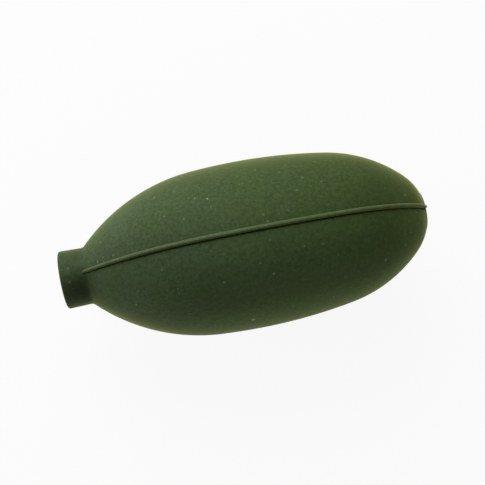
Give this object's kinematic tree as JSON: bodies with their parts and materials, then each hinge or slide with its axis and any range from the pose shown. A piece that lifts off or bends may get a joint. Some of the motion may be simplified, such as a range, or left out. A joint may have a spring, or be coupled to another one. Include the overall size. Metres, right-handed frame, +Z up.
{
  "type": "hand bulb",
  "caption": "Dark green rubber squeeze bulb for a pipette or hose: a plain neck bore at one end, a raised seam bead, a recessed ball inlet valve at the other.",
  "frame": {"origin": "centre of the neck's mouth, on the bulb's axis", "axes": "+X along the axis from the neck to the far end, +Z up in the plane of the seam bead, +Y to the left side wall"},
  "size_m": [0.1097, 0.05, 0.0516],
  "materials": {
    "green_rubber": "matt, powdery, moulded",
    "nickel_plate": "satin nickel plate on brass",
    "polished_steel": "polished ball",
    "bare_brass": "stamped, bare",
    "steel_gauze": "fine woven wire"
  },
  "bodies": {
    "bulb_frame": {"upper_seam_bead": "green_rubber", "lower_seam_bead": "green_rubber", "neck_tube": "green_rubber", "valve_socket": "green_rubber", "valve_body": "nickel_plate", "ball_retainer": "bare_brass", "dust_screen": "steel_gauze", "inlet_cap": "nickel_plate"},
    "left_wall": {"left_shell": "green_rubber"},
    "right_wall": {"right_shell": "green_rubber"},
    "ball": {"valve_ball": "polished_steel"}
  },
  "joints": [
    {"name": "left_squeeze", "type": "slide", "parent": "bulb_frame", "child": "left_wall", "axis": [0, -1, 0], "range_m": [0, 0.01], "stiffness_N_per_m": 1500, "deforming": ["left_shell"]},
    {"name": "right_squeeze", "type": "slide", "parent": "bulb_frame", "child": "right_wall", "axis": [0, 1, 0], "range_m": [0, 0.01], "stiffness_N_per_m": 1500, "deforming": ["right_shell"]},
    {"name": "ball_lift", "type": "slide", "parent": "bulb_frame", "child": "ball", "axis": [-1, 0, 0], "range_m": [0, 0.0015]}
  ],
  "couplings": [
    {"joint": "right_squeeze", "follows": "left_squeeze", "ratio": 1}
  ]
}
